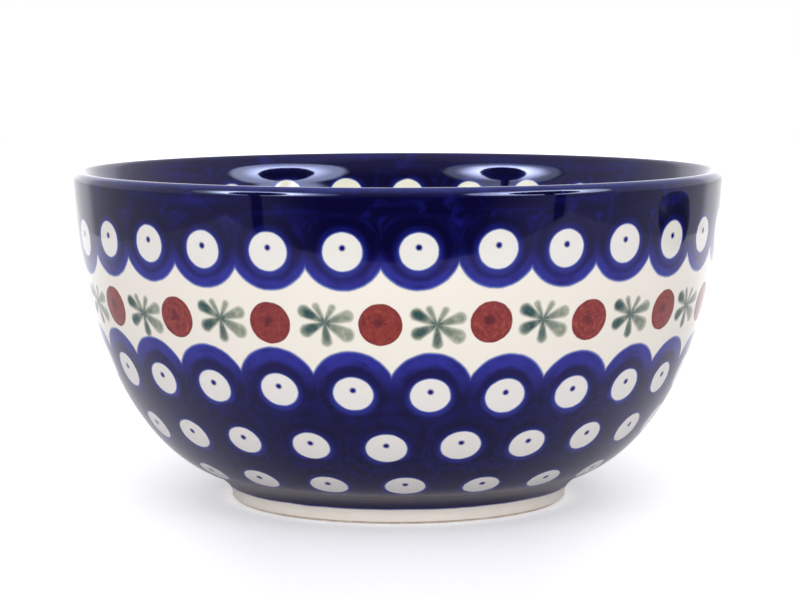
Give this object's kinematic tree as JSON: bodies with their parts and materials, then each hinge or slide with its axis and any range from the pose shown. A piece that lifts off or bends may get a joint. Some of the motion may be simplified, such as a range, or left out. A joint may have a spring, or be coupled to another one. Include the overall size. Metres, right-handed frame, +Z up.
{
  "type": "bowl",
  "caption": "Round deep stoneware bowl on a low turned foot ring, glazed inside and out, with stamped eye and sprig decoration; holds food or liquid.",
  "frame": {"origin": "middle of the foot ring, on the surface that the bowl stands on", "axes": "+Z up along the axis that the bowl is turned about; X and Y level, with -Y towards the viewer of the picture"},
  "size_m": [0.152, 0.152, 0.0776],
  "materials": {
    "bare_stoneware": "unglazed fired stoneware, matt and slightly gritty",
    "decorated_glaze_outside": "clear gloss glaze over cobalt fields, stamped eyes, red discs and green sprigs on cream",
    "decorated_glaze_inside": "clear gloss glaze over cream, with a cobalt band of stamped eyes under the lip",
    "plain_glaze_base": "clear gloss glaze over bare cream clay, thin and slightly uneven"
  },
  "bodies": {
    "root": {"stoneware_body": "bare_stoneware", "outer_glaze": "decorated_glaze_outside", "inner_glaze": "decorated_glaze_inside", "base_glaze": "plain_glaze_base"}
  },
  "joints": []
}
